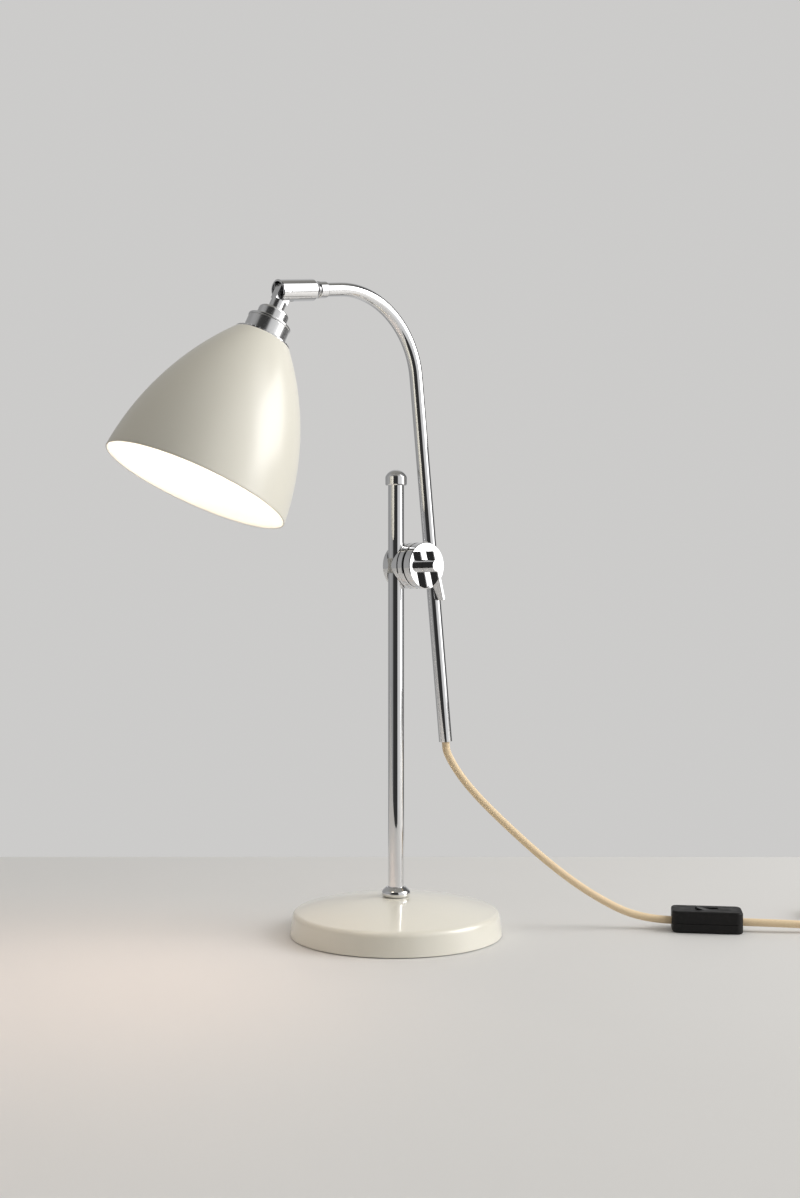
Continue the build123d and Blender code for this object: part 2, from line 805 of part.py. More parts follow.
# Flex: free stretches on straight runs and tangent arcs
cord_radius = cord_diameter / 2


def corner_radii(points):
    """The largest arc that each inner corner of a route has room for."""
    radii = []
    for before, corner, after in zip(points, points[1:], points[2:]):
        turn = (corner - before).get_angle(after - corner)
        run = min((corner - before).length, (after - corner).length)
        radii.append(0.45 * run / math.tan(math.radians(turn / 2)))
    return radii


def cord_tube(points, name):
    """A free stretch of flex along a route of points."""
    radii = corner_radii(points)
    with BuildPart() as tube:
        with BuildLine():
            route = FilletPolyline(*points, radius=radii)
        with BuildSketch(Plane(origin=points[0], z_dir=points[1] - points[0])):
            Circle(cord_radius)
        sweep()
    length = route.length
    share = tube.part.volume / (math.pi * cord_radius**2 * length)
    print(name, "radii", [round(radius, 1) for radius in radii], "length", round(length, 1))
    print(name, "volume over section times length", round(share, 4))
    return tube


switch_entry = switch_plane.from_local_coords(Vector(-switch_length / 2, 0, switch_seam_height))
switch_exit = switch_plane.from_local_coords(Vector(switch_length / 2, 0, switch_seam_height))


def hang_point(way, height):
    """A point of the hanging flex, by its share of the way to the switch and of the height left."""
    flat = arm_low + (switch_entry - switch_along * cord_lead - arm_low) * way
    return Vector(flat.X, flat.Y, switch_entry.Z + (arm_low.Z - switch_entry.Z) * height)


cord_to_switch = cord_tube(
    [
        arm_low,
        arm_low - arm_up * cord_exit_run,
        *[hang_point(way, height) for way, height in cord_hang],
        switch_entry - switch_along * cord_lead,
        switch_entry,
    ],
    "cord_to_switch",
)
save(cord_to_switch, "cord_to_switch")

# Coil: spirals in on the lower layer, climbs where it reverses, and spirals out on the upper layer
coil_along = Vector(1, 0, 0).rotate(Axis.Z, coil_turn)
coil_across = Vector(0, 1, 0).rotate(Axis.Z, coil_turn)
coil_plane = Plane(origin=(*coil_place, 0), x_dir=coil_along, z_dir=(0, 0, 1))
coil_layer_height = tie_thickness + tie_gap + cord_radius
coil_turns = coil_turns_in + coil_turns_out
plug_axis_height = plug_thickness / 2


def coil_radius(turn):
    """Distance of the coil's line from its centre after a number of turns."""
    return coil_start_radius - coil_pitch * (coil_turns_in - abs(coil_turns_in - turn))


def coil_height(turn):
    """Height of the coil's line: one layer up across the turn's reversal."""
    share = (turn - coil_turns_in) / coil_climb + 0.5
    share = min(1.0, max(0.0, share))
    return coil_layer_height + coil_pitch * (1 - math.cos(math.pi * share)) / 2


def coil_point(turn):
    """A point of the coil's line in the coil's own plane."""
    angle = 2 * math.pi * turn - math.pi / 2
    radius = coil_radius(turn)
    return Vector(radius * math.cos(angle), radius * math.sin(angle), coil_height(turn))


def coil_direction(turn):
    """Direction of the coil's line."""
    step = 0.01
    return (coil_point(turn + step) - coil_point(turn - step)).normalized()


def biarc(start, start_direction, end, end_direction):
    """Two arcs that leave a point and reach another in the directions given."""
    chord = end - start
    both = start_direction + end_direction
    bend = 2 * (1 - start_direction.dot(end_direction))
    reach = chord.dot(both)
    if bend < 1e-6:
        handle = chord.dot(chord) / (2 * reach)
    else:
        handle = (math.sqrt(reach**2 + bend * chord.dot(chord)) - reach) / bend
    first_corner = start + start_direction * handle
    second_corner = end - end_direction * handle
    middle = (first_corner + second_corner) / 2
    TangentArc(start, middle, tangent=start_direction)
    TangentArc(middle, end, tangent=second_corner - first_corner)


def on_table(point):
    """A point of the coil's own plane, placed on the table."""
    return coil_plane.from_local_coords(point)


coil_steps = round(coil_turns * coil_steps_per_turn)
coil_entry = coil_point(0)
coil_exit = coil_point(coil_turns)
coil_start = on_table(coil_entry) - coil_along * cord_diameter
tail_start = on_table(coil_exit + Vector(0, coil_tail_level, 0))
tail_end = on_table(Vector(coil_exit.X, coil_tail_level + coil_tail, plug_axis_height))
plug_start = tail_end + coil_across * cord_diameter

with BuildPart() as cord_coil:
    with BuildLine() as coil_line:
        Line(coil_start, on_table(coil_entry))
        knots = [on_table(coil_point(step / coil_steps_per_turn)) for step in range(coil_steps + 1)]
        directions = [coil_direction(step / coil_steps_per_turn) for step in range(coil_steps + 1)]
        directions = [direction.rotate(Axis.Z, coil_turn) for direction in directions]
        directions[0] = coil_along
        directions[-1] = coil_across
        for step in range(coil_steps):
            biarc(knots[step], directions[step], knots[step + 1], directions[step + 1])
        Line(knots[-1], tail_start)
        biarc(tail_start, coil_across, tail_end, coil_across)
        Line(tail_end, plug_start)
    with BuildSketch(Plane(origin=coil_start, z_dir=coil_along)):
        Circle(cord_radius)
    sweep()
save(cord_coil, "cord_coil")

coil_route = coil_line.wire()
coil_length = coil_route.length
samples = round(coil_length / 2)
line_points = [coil_route.position_at(sample / samples) for sample in range(samples + 1)]
apart = round(3 * cord_diameter / (coil_length / samples))
least_gap = min(
    (line_points[first] - line_points[second]).length - cord_diameter
    for first in range(len(line_points))
    for second in range(first + apart, len(line_points))
)
coil_share = cord_coil.part.volume / (math.pi * cord_radius**2 * coil_length)
print("cord_coil length", round(coil_length, 1), "least gap to itself", round(least_gap, 2))
print("cord_coil volume over section times length", round(coil_share, 4))

cord_to_coil = cord_tube(
    [
        switch_exit,
        switch_exit + switch_along * switch_exit_run,
        on_table(Vector(-coil_approach, -coil_start_radius, (switch_entry.Z + coil_layer_height) / 2 + 0.4)),
        coil_start - coil_along * cord_lead,
        coil_start,
    ],
    "cord_to_coil",
)
save(cord_to_coil, "cord_to_coil")

# Tie: a band round all the turns at the side of the coil away from the entry
tie_turn = 0.5
tie_inner = coil_radius(coil_turns_in + 0.25) - cord_radius - tie_gap
tie_outer = coil_radius(tie_turn) + cord_radius + tie_gap
tie_room_height = coil_pitch + cord_diameter + 2 * tie_gap
tie_middle = Vector(0, (tie_inner + tie_outer) / 2, tie_thickness + tie_room_height / 2)
with BuildPart() as coil_tie:
    with BuildSketch(
        Plane(origin=on_table(tie_middle), x_dir=coil_across, z_dir=coil_along)
    ):
        RectangleRounded(
            tie_outer - tie_inner + 2 * tie_thickness, tie_room_height + 2 * tie_thickness, tie_corner
        )
        RectangleRounded(
            tie_outer - tie_inner, tie_room_height, tie_corner - tie_thickness, mode=Mode.SUBTRACT
        )
    extrude(amount=tie_width / 2, both=True)
save(coil_tie, "coil_tie")

# Plug: tapered relief, moulded body and two pins, drawn along the plug's own axis
relief_plane = Plane(origin=plug_start, x_dir=coil_along, z_dir=coil_across)
body_plane = relief_plane.offset(plug_relief_length)
face_plane = body_plane.offset(plug_length)

with BuildPart() as plug_relief:
    with BuildSketch(relief_plane):
        Circle(plug_relief_start_diameter / 2)
    with BuildSketch(body_plane):
        Circle(plug_relief_end_diameter / 2)
    loft()
save(plug_relief, "plug_relief")

with BuildPart() as plug_body:
    with BuildSketch(body_plane):
        RectangleRounded(plug_back_width, plug_thickness, plug_edge)
    with BuildSketch(face_plane):
        RectangleRounded(plug_width, plug_thickness, plug_edge)
    loft()
save(plug_body, "plug_body")

with BuildPart() as plug_pins:
    with BuildSketch(face_plane):
        with Locations((-plug_pin_spacing / 2, 0), (plug_pin_spacing / 2, 0)):
            Circle(plug_pin_diameter / 2)
    extrude(amount=plug_pin_length)
    tips = plug_pins.faces().sort_by(Axis(plug_start, coil_across))[-2:].edges()
    fillet(tips, plug_pin_tip)
save(plug_pins, "plug_pins")
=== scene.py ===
import math

import bpy
from mathutils import Matrix, Vector


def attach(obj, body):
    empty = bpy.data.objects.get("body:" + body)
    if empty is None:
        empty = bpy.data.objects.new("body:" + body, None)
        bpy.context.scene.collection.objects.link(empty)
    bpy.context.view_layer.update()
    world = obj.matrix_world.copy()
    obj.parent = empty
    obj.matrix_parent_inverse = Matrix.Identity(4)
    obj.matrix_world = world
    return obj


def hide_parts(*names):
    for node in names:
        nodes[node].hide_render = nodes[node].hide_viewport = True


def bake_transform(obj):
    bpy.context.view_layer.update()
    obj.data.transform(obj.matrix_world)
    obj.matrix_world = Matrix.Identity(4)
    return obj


# Task lamp: a painted bell shade and base, chrome post, clamp and arm, a textile flex and a black switch.
# Metres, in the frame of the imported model.
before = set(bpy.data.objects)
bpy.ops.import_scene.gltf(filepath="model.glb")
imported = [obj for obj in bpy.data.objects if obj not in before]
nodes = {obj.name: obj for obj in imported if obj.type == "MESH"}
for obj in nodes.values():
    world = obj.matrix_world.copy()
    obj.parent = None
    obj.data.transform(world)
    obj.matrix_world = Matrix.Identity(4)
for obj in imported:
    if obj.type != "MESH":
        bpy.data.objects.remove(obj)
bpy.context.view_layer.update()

# Directions of the photograph: to its right, and away from its camera
VIEW_TURN = math.radians(-41)
RIGHTWARDS = Vector((math.cos(VIEW_TURN), math.sin(VIEW_TURN), 0))
AWAY = Vector((-math.sin(VIEW_TURN), math.cos(VIEW_TURN), 0))
UP = Vector((0, 0, 1))

# Arm and shade, as the part's source places them
ARM_TILT = math.radians(6.25)
ARM_UP = Vector((-math.sin(ARM_TILT), 0, math.cos(ARM_TILT)))
ARM_LOW = Vector((0.036964, -0.0145, 0.14244))
SHADE_PIVOT = Vector((-0.114714, -0.0145, 0.462775))
SHADE_DOWN = Vector((-0.408862, 0.106379, -0.906375))
SHADE_TOP = 0.0388
SHADE_RIM = 0.1515
SHADE_HOLE_RADIUS = 0.01373
SHADE_WALL = 0.0011
SHADE_BELL_RADIUS = 0.20635
SHADE_BELL_CENTRE = (-0.140943, 0.167317)
SHADE_STEPS = 48
SHADE_TURNS = 128
SHADE_LIP_STEPS = 6
SHADE_MERGE = 0.00001
SHADE_SMOOTH = math.radians(40)

# Flex
FLEX_RADIUS = 0.0029
FLEX_SIDES = 20
FLEX_TUCK = 0.006
FLEX_INTO_SWITCH = 0.1
FLEX_CURVE_STEPS = 12
FLEX_CURVE_ORDER = 3
FLEX_SMOOTH = math.radians(50)
FLEX_TO_SWITCH = [
    (0.03696, -0.0145, 0.14244),
    (0.03805, -0.0145, 0.1325),
    (0.04944, -0.02478, 0.10872),
    (0.07142, -0.04287, 0.07993),
    (0.09843, -0.06512, 0.04844),
    (0.12395, -0.08614, 0.02447),
    (0.15142, -0.10877, 0.007),
    (0.16651, -0.12613, 0.007),
]
FLEX_TO_COIL = [
    (0.20089, -0.16567, 0.007),
    (0.20942, -0.17548, 0.007),
    (0.23268, -0.19887, 0.00608),
    (0.25924, -0.22197, 0.00435),
    (0.2766, -0.23706, 0.00435),
]
COIL_CENTRE = Vector((0.3105, -0.2069, 0))
COIL_START_RADIUS = 0.045
COIL_PITCH = 0.00635
COIL_TURNS_IN = 3.25
COIL_TURNS = 6.25
COIL_CLIMB = 0.5
COIL_LAYER_HEIGHT = 0.00435
COIL_POINTS_PER_TURN = 16
TAIL_LINE = [(0.014, 0.0107), (0.022, 0.0102), (0.030, 0.0075), (0.038, 0.007), (0.0438, 0.007)]

# Lamp of the studio
KEY_WIDTH = 1.1
KEY_HEIGHT = 0.9
KEY_WATTS = 14.0
KEY_SIDE = 1.45
KEY_RISE = 0.98
KEY_AIM = Vector((0, 0, 0.15))
KEY_COLOUR = (1.0, 0.985, 0.96)

# Lit bulb, with distances down the shade's axis from the knuckle pin
BULB_GLASS = (0.95, 0.93, 0.88, 1)
BULB_ROUGHNESS = 0.25
BULB_STRENGTH = 9.0
BULB_COLOUR = (1.0, 0.88, 0.74, 1)
BULB_NECK_COLOUR = (0.8, 0.64, 0.48, 1)
BULB_NECK = 0.070
BULB_NECK_FADE = 0.014

# Warm light out of the shade
GLOW_WATTS = 1.1
GLOW_COLOUR = (1.0, 0.63, 0.44)
GLOW_SPREAD = math.radians(112)
GLOW_RADIUS = 0.03

# Light round the room, as it falls on the lamp and as the chrome mirrors it: bearings in degrees from
# the camera's side, plus towards the photograph's right, with a level and a tint
DAYLIGHT = (1.0, 1.0, 1.0)
SIDE_LIGHT = (0.99, 1.0, 1.01)
ROOM_LIGHT = (1.0, 0.96, 0.88)
CEILING_LIGHT = (0.84, 0.81, 0.755, 1)
CEILING_MIRRORED = (0.29, 0.282, 0.26, 1)
CEILING_SLOPES = (0.72, 0.9)
BACKDROP = (0.605, 0.60, 0.592, 1)
LIGHT_ROUND_ROOM = [
    (-180, 0.60, DAYLIGHT),
    (-145, 0.64, DAYLIGHT),
    (-115, 0.53, ROOM_LIGHT),
    (-80, 0.35, ROOM_LIGHT),
    (-46, 0.27, ROOM_LIGHT),
    (-40, 0.03, ROOM_LIGHT),
    (19, 0.03, DAYLIGHT),
    (25, 0.88, SIDE_LIGHT),
    (60, 1.05, SIDE_LIGHT),
    (76, 2.4, SIDE_LIGHT),
    (92, 2.4, SIDE_LIGHT),
    (98, 0.12, DAYLIGHT),
    (125, 0.12, DAYLIGHT),
    (140, 0.60, DAYLIGHT),
    (180, 0.60, DAYLIGHT),
]
MIRRORED_ROUND_ROOM = [
    (-180, 0.60, DAYLIGHT),
    (-150, 0.33, DAYLIGHT),
    (-115, 0.32, DAYLIGHT),
    (-90, 0.40, DAYLIGHT),
    (-58, 0.34, DAYLIGHT),
    (-46, 0.26, DAYLIGHT),
    (-40, 0.04, DAYLIGHT),
    (17, 0.03, DAYLIGHT),
    (24, 0.66, DAYLIGHT),
    (50, 0.74, DAYLIGHT),
    (66, 0.95, DAYLIGHT),
    (74, 2.3, DAYLIGHT),
    (92, 2.3, DAYLIGHT),
    (98, 0.12, DAYLIGHT),
    (142, 0.12, DAYLIGHT),
    (156, 0.46, DAYLIGHT),
    (180, 0.60, DAYLIGHT),
]

# Camera and stage
CAMERA_REACH = 1.111
CAMERA_HEIGHT = 0.25
CAMERA_SIDE = 0.00292
CAMERA_LENS = 44.65
CAMERA_SENSOR = 36
TABLE_BEHIND = 0.329
TABLE_FRONT = 0.52
TABLE_SIDE = 3.0
TABLE_COLOURS = ((0.68, 0.674, 0.666, 1), (0.71, 0.704, 0.696, 1))
TABLE_CLOUD_SCALE = 3.0
TABLE_ROUGHNESS = 0.55
TABLE_SHINE = 0.25

# What every surface group puts out, and the places of a Mix node's colour sockets
SURFACE_RESULTS = [
    ("Colour", "NodeSocketColor"),
    ("Roughness", "NodeSocketFloat"),
    ("Height", "NodeSocketFloat"),
]
MIX_SHARE = 0
MIX_FIRST = 6
MIX_SECOND = 7
MIX_RESULT = 2

# Relief of the finishes: depth in metres, detail of fine noise, and strengths
RELIEF_DEPTH = 0.0001
FINE_DETAIL = 2.0
PAINT_BUMP = 0.012
BRAID_BUMP = 0.06
BRAID_DEPTH = 0.0003


def deselect_all():
    """Nothing selected, so that the next operator acts on new pieces alone."""
    bpy.ops.object.select_all(action="DESELECT")


def make_active(piece):
    """The piece as the only selected object."""
    deselect_all()
    piece.select_set(True)
    bpy.context.view_layer.objects.active = piece


# Shader node groups


def new_group(name, inputs):
    """A shader node group with named inputs and a surface's results, and its two end nodes."""
    group = bpy.data.node_groups.new(name, "ShaderNodeTree")
    for label, kind, value in inputs:
        socket = group.interface.new_socket(label, in_out="INPUT", socket_type=kind)
        socket.default_value = value
    for label, kind in SURFACE_RESULTS:
        group.interface.new_socket(label, in_out="OUTPUT", socket_type=kind)
    return group, group.nodes.new("NodeGroupInput"), group.nodes.new("NodeGroupOutput")


def close_group(group, end, colour, roughness, height):
    """The group, with its results joined to its end node."""
    for (label, kind), source in zip(SURFACE_RESULTS, (colour, roughness, height)):
        group.links.new(source, end.inputs[label])
    return group


def add_node(tree, kind, links=None, **settings):
    """A node with its properties set, numbered or named inputs filled, and links made."""
    node = tree.nodes.new(kind)
    for name, value in settings.items():
        setattr(node, name, value)
    for socket, source in (links or {}).items():
        if isinstance(source, bpy.types.NodeSocket):
            tree.links.new(source, node.inputs[socket])
        else:
            node.inputs[socket].default_value = source
    return node


def noise(tree, vector, scale, detail=4.0, roughness=0.55):
    """Noise in object space, as a value about one half."""
    links = {"Vector": vector, "Scale": scale, "Detail": detail, "Roughness": roughness}
    return add_node(tree, "ShaderNodeTexNoise", links).outputs["Fac"]


def maths(tree, operation, first, second=0.0):
    """One sum on two values."""
    return add_node(tree, "ShaderNodeMath", {0: first, 1: second}, operation=operation).outputs[0]


def spread(tree, value, span, to_span=(0.0, 1.0)):
    """A value moved from one range to another, and kept within it."""
    links = {
        "Value": value,
        "From Min": span[0],
        "From Max": span[1],
        "To Min": to_span[0],
        "To Max": to_span[1],
    }
    return add_node(tree, "ShaderNodeMapRange", links).outputs["Result"]


def mix_colours(tree, share, first, second):
    """Two colours mixed by a share."""
    links = {MIX_SHARE: share, MIX_FIRST: first, MIX_SECOND: second}
    return add_node(tree, "ShaderNodeMix", links, data_type="RGBA").outputs[MIX_RESULT]


def sprayed_paint_group():
    """Sprayed enamel: faint clouding of the colour, orange peel, and a few dull patches."""
    cloud_scale = 22.0
    cloud_level = 0.62
    cloud_span = (0.0, 0.1)
    cloud_strength = (0.0, 0.5)
    grime = (0.30, 0.26, 0.18, 1)
    grime_share = 0.35
    dull_scale = 60.0
    dull_span = (0.3, 0.7)
    dull_strength = (0.0, 0.05)
    peel_scale = 420.0
    speck_scale = 900.0
    speck_share = 0.25
    group, start, end = new_group(
        "sprayed_paint",
        [
            ("Vector", "NodeSocketVector", (0, 0, 0)),
            ("Colour", "NodeSocketColor", (0.8, 0.8, 0.8, 1)),
            ("Clouding", "NodeSocketFloat", 0.05),
            ("Gloss loss", "NodeSocketFloat", 0.3),
        ],
    )
    vector = start.outputs["Vector"]
    clean = start.outputs["Colour"]
    cloud = maths(group, "SUBTRACT", cloud_level, noise(group, vector, cloud_scale))
    clouding = maths(group, "MULTIPLY", cloud, start.outputs["Clouding"])
    grimy = mix_colours(group, grime_share, clean, grime)
    colour = mix_colours(group, spread(group, clouding, cloud_span, cloud_strength), clean, grimy)
    dull = spread(group, noise(group, vector, dull_scale), dull_span, dull_strength)
    roughness = maths(group, "ADD", dull, start.outputs["Gloss loss"])
    speck = maths(group, "MULTIPLY", noise(group, vector, speck_scale, FINE_DETAIL), speck_share)
    peel = maths(group, "ADD", noise(group, vector, peel_scale, FINE_DETAIL), speck)
    return close_group(group, end, colour, roughness, peel)


def handled_metal_group():
    """Plated or turned metal: finger haze, and hairlines along one direction."""
    haze_scale = 45.0
    haze_detail = 6.0
    haze_grit = 0.65
    haze_span = (0.5, 0.8)
    tarnish = (0.42, 0.40, 0.36, 1)
    tarnish_share = 0.12
    hair_stretch = (1.0, 1.0, 0.03)
    hair_scale = 2600.0
    group, start, end = new_group(
        "handled_metal",
        [
            ("Vector", "NodeSocketVector", (0, 0, 0)),
            ("Colour", "NodeSocketColor", (0.8, 0.8, 0.8, 1)),
            ("Gloss loss", "NodeSocketFloat", 0.05),
            ("Haze", "NodeSocketFloat", 0.06),
        ],
    )
    vector = start.outputs["Vector"]
    clean = start.outputs["Colour"]
    haze = spread(group, noise(group, vector, haze_scale, haze_detail, haze_grit), haze_span)
    dulled = mix_colours(group, tarnish_share, clean, tarnish)
    colour = mix_colours(group, haze, clean, dulled)
    haze_loss = maths(group, "MULTIPLY", haze, start.outputs["Haze"])
    roughness = maths(group, "ADD", start.outputs["Gloss loss"], haze_loss)
    stretched = add_node(group, "ShaderNodeMapping", {"Vector": vector, "Scale": hair_stretch})
    hairs = noise(group, stretched.outputs["Vector"], hair_scale, FINE_DETAIL)
    return close_group(group, end, colour, roughness, hairs)


def moulded_plastic_group():
    """Moulded plastic or rubber: fine spark grain, rubbed patches and a little dust."""
    grain_scale = 2400.0
    rub_scale = 130.0
    rub_span = (0.35, 0.7)
    rub_strength = (-0.06, 0.1)
    dust_scale = 320.0
    dust_detail = 6.0
    dust_grit = 0.7
    dust_span = (0.5, 0.85)
    dust_colour = (0.45, 0.43, 0.40, 1)
    group, start, end = new_group(
        "moulded_plastic",
        [
            ("Vector", "NodeSocketVector", (0, 0, 0)),
            ("Colour", "NodeSocketColor", (0.03, 0.03, 0.03, 1)),
            ("Gloss loss", "NodeSocketFloat", 0.4),
            ("Dust", "NodeSocketFloat", 0.1),
        ],
    )
    vector = start.outputs["Vector"]
    dust = spread(group, noise(group, vector, dust_scale, dust_detail, dust_grit), dust_span)
    share = maths(group, "MULTIPLY", dust, start.outputs["Dust"])
    colour = mix_colours(group, share, start.outputs["Colour"], dust_colour)
    rub = spread(group, noise(group, vector, rub_scale), rub_span, rub_strength)
    roughness = maths(group, "ADD", start.outputs["Gloss loss"], rub)
    grain = noise(group, vector, grain_scale, FINE_DETAIL)
    return close_group(group, end, colour, roughness, grain)


def braid_group():
    """Textile braid from a UV map: across in turns, along in metres."""
    yarns_round = 12.0
    yarns_per_metre = 660.0
    slub_stretch = (6.0, 160.0, 1.0)
    slub_scale = 3.0
    slub_detail = 5.0
    slub_grit = 0.6
    crown_share = 0.25
    slub_share = 0.7
    slub_span = (0.2, 0.8)
    yarn_roughness = (0.72, 0.92)
    full_turn = 2 * math.pi
    group, start, end = new_group(
        "flex_braid",
        [
            ("UV", "NodeSocketVector", (0, 0, 0)),
            ("Light yarn", "NodeSocketColor", (0.7, 0.6, 0.45, 1)),
            ("Dark yarn", "NodeSocketColor", (0.5, 0.4, 0.28, 1)),
        ],
    )
    parts = add_node(group, "ShaderNodeSeparateXYZ", {0: start.outputs["UV"]})
    across = maths(group, "MULTIPLY", parts.outputs["X"], yarns_round)
    along = maths(group, "MULTIPLY", parts.outputs["Y"], yarns_per_metre)
    left_angle = maths(group, "MULTIPLY", maths(group, "ADD", across, along), full_turn)
    right_angle = maths(group, "MULTIPLY", maths(group, "SUBTRACT", across, along), full_turn)
    plait = maths(group, "MULTIPLY", maths(group, "SINE", left_angle), maths(group, "SINE", right_angle))
    crown = maths(group, "ABSOLUTE", plait)
    stretched = add_node(group, "ShaderNodeMapping", {"Vector": start.outputs["UV"], "Scale": slub_stretch})
    slub = noise(group, stretched.outputs["Vector"], slub_scale, slub_detail, slub_grit)
    crown_light = maths(group, "MULTIPLY", crown, crown_share)
    share = maths(group, "ADD", crown_light, maths(group, "MULTIPLY", slub, slub_share))
    colour = mix_colours(group, share, start.outputs["Dark yarn"], start.outputs["Light yarn"])
    return close_group(group, end, colour, spread(group, slub, slub_span, yarn_roughness), crown)


SPRAYED_PAINT = sprayed_paint_group()
HANDLED_METAL = handled_metal_group()
MOULDED_PLASTIC = moulded_plastic_group()
FLEX_BRAID = braid_group()


# Materials


def finish_material(name, group, values, bump, depth, **shader):
    """A material whose colour, gloss and relief come from one of the groups."""
    material = bpy.data.materials.new(name)
    material.use_nodes = True
    tree = material.node_tree
    principled = tree.nodes["Principled BSDF"]
    for label, value in shader.items():
        principled.inputs[label.replace("_", " ")].default_value = value
    where = add_node(tree, "ShaderNodeTexCoord")
    surface = add_node(tree, "ShaderNodeGroup", node_tree=group)
    if "UV" in surface.inputs:
        tree.links.new(where.outputs["UV"], surface.inputs["UV"])
    else:
        tree.links.new(where.outputs["Object"], surface.inputs["Vector"])
    for label, value in values.items():
        surface.inputs[label].default_value = value
    relief = add_node(
        tree,
        "ShaderNodeBump",
        {"Strength": bump, "Distance": depth, "Height": surface.outputs["Height"]},
    )
    tree.links.new(surface.outputs["Colour"], principled.inputs["Base Color"])
    tree.links.new(surface.outputs["Roughness"], principled.inputs["Roughness"])
    tree.links.new(relief.outputs["Normal"], principled.inputs["Normal"])
    return material


def painted(name, colour, gloss_loss, clouding, coat, coat_loss):
    """Enamel on metal."""
    values = {"Colour": (*colour, 1), "Gloss loss": gloss_loss, "Clouding": clouding}
    coating = {"Coat_Weight": coat, "Coat_Roughness": coat_loss}
    return finish_material(name, SPRAYED_PAINT, values, PAINT_BUMP, RELIEF_DEPTH, **coating)


def metal(name, colour, gloss_loss, haze, bump):
    """Bare or plated metal."""
    values = {"Colour": (*colour, 1), "Gloss loss": gloss_loss, "Haze": haze}
    return finish_material(name, HANDLED_METAL, values, bump, RELIEF_DEPTH, Metallic=1.0)


def plastic(name, colour, gloss_loss, dust, bump=0.1, shine=0.5):
    """Moulded plastic or rubber."""
    values = {"Colour": (*colour, 1), "Gloss loss": gloss_loss, "Dust": dust}
    return finish_material(name, MOULDED_PLASTIC, values, bump, RELIEF_DEPTH, Specular_IOR_Level=shine)


cream_paint = painted(
    "cream_paint", (0.78, 0.75, 0.655), gloss_loss=0.29, clouding=0.02, coat=0.35, coat_loss=0.2
)
# Painted light: the shade's cream paint made lighter, so that the base's top renders brighter, with a
# glossier coat
base_paint_painted_lighter = painted(
    "base_paint_painted_lighter", (0.83, 0.80, 0.705), gloss_loss=0.29, clouding=0.02, coat=0.8, coat_loss=0.05
)
shade_enamel = painted(
    "shade_enamel", (0.87, 0.86, 0.83), gloss_loss=0.35, clouding=0.03, coat=0.1, coat_loss=0.3
)
chrome = metal("polished_chrome", (0.80, 0.80, 0.805), gloss_loss=0.03, haze=0.02, bump=0.0004)
satin_chrome = metal("satin_chrome", (0.78, 0.78, 0.785), gloss_loss=0.2, haze=0.05, bump=0.004)
steel = metal("turned_steel", (0.56, 0.56, 0.57), gloss_loss=0.29, haze=0.12, bump=0.12)
bulb_shell = metal("bulb_shell", (0.72, 0.71, 0.69), gloss_loss=0.29, haze=0.15, bump=0.08)
pin_brass = metal("pin_brass", (0.79, 0.66, 0.40), gloss_loss=0.16, haze=0.1, bump=0.06)
cast_iron = metal("cast_iron", (0.12, 0.12, 0.12), gloss_loss=0.55, haze=0.2, bump=0.5)
black_plastic = plastic(
    "black_plastic", (0.013, 0.0125, 0.0125), gloss_loss=0.5, dust=0.03, bump=0.06, shine=0.2
)
rocker_plastic = plastic(
    "rocker_plastic", (0.008, 0.008, 0.008), gloss_loss=0.36, dust=0.02, bump=0.05, shine=0.3
)
pad_rubber = plastic("pad_rubber", (0.03, 0.03, 0.03), gloss_loss=0.7, dust=0.25, bump=0.3)
bush_plastic = plastic("bush_plastic", (0.46, 0.46, 0.45), gloss_loss=0.4, dust=0.05)
socket_plastic = plastic("socket_plastic", (0.80, 0.79, 0.75), gloss_loss=0.36, dust=0.05)
core_rubber = plastic("core_rubber", (0.22, 0.20, 0.18), gloss_loss=0.6, dust=0.1)
flex_textile = finish_material(
    "flex_textile",
    FLEX_BRAID,
    {"Light yarn": (0.92, 0.76, 0.53, 1), "Dark yarn": (0.77, 0.57, 0.34, 1)},
    BRAID_BUMP,
    BRAID_DEPTH,
    Sheen_Weight=0.25,
    Sheen_Roughness=0.5,
)


def lit_bulb():
    """Opal glass, lit from inside, a little dimmer towards its neck."""
    material = bpy.data.materials.new("lit_bulb")
    material.use_nodes = True
    tree = material.node_tree
    principled = tree.nodes["Principled BSDF"]
    principled.inputs["Roughness"].default_value = BULB_ROUGHNESS
    principled.inputs["Base Color"].default_value = BULB_GLASS
    principled.inputs["Emission Strength"].default_value = BULB_STRENGTH
    where = add_node(tree, "ShaderNodeTexCoord")
    neck_side = add_node(
        tree,
        "ShaderNodeVectorMath",
        {0: where.outputs["Object"], 1: tuple(SHADE_DOWN)},
        operation="DOT_PRODUCT",
    )
    neck = SHADE_PIVOT.dot(SHADE_DOWN) + BULB_NECK
    share = spread(tree, neck_side.outputs["Value"], (neck, neck + BULB_NECK_FADE))
    colour = mix_colours(tree, share, BULB_NECK_COLOUR, BULB_COLOUR)
    tree.links.new(colour, principled.inputs["Emission Color"])
    return material


